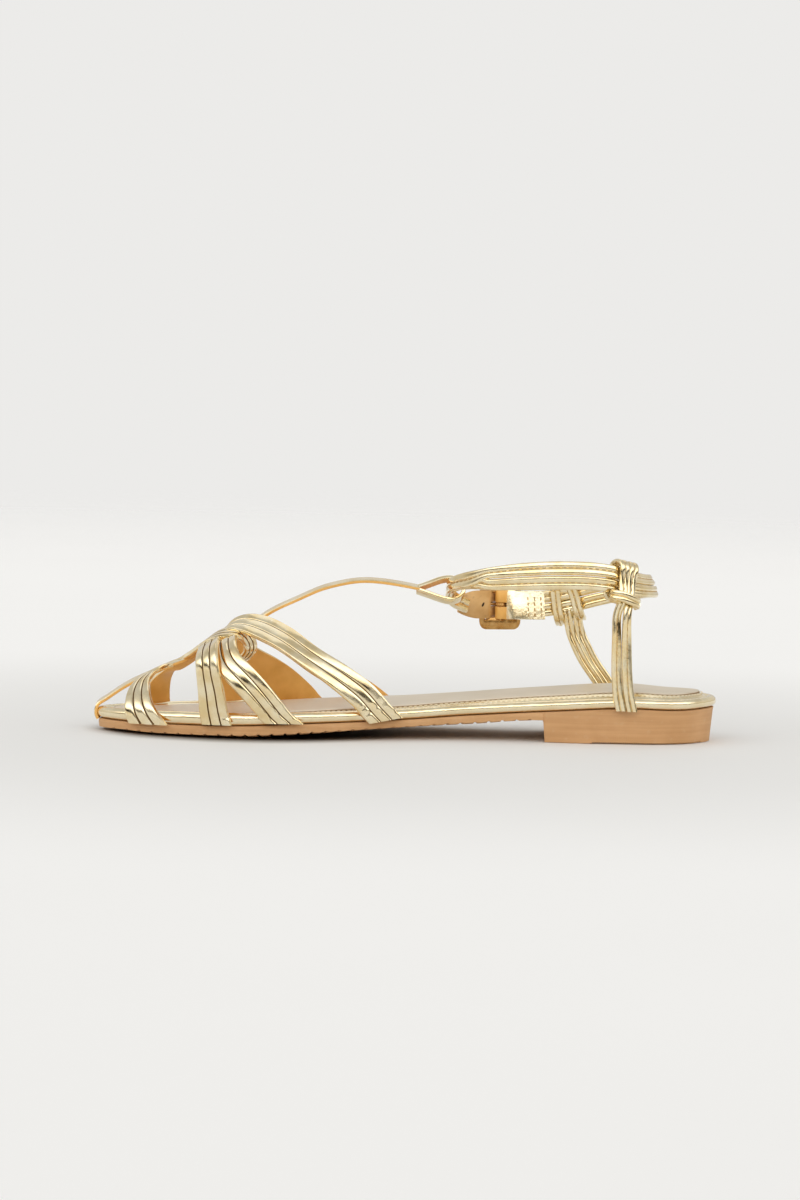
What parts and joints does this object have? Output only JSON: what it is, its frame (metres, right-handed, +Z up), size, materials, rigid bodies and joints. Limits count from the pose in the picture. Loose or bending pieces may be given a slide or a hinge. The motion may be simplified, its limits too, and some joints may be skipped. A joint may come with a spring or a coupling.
{
  "type": "strappy flat sandal",
  "caption": "Flat open sandal: ribbed bands knotted over the toes, a thin instep strap, a buckled ankle strap on two heel straps, and a moulded sole with a low heel.",
  "frame": {"origin": "middle of the bounding box on the floor under the sole", "axes": "+X towards the heel, +Y towards the outer side of the foot, +Z up"},
  "size_m": [0.2515, 0.0821, 0.0741],
  "materials": {
    "sole": "matte moulded, caramel brown",
    "gold_leather": "pale gold foil, soft metallic sheen",
    "sock": "beige gold, satin",
    "tan_leather": "smooth tan lining leather",
    "buckle": "antique gold plate"
  },
  "bodies": {
    "root": {"outsole": "sole", "footbed": "gold_leather", "insole_sock": "sock", "vamp_straps": "gold_leather", "ankle_strap": "gold_leather", "heel_strap_inner": "gold_leather", "heel_strap_outer": "gold_leather", "buckle_frame": "buckle", "buckle_prong": "buckle", "buckle_tab": "gold_leather", "strap_end": "tan_leather"}
  },
  "joints": []
}
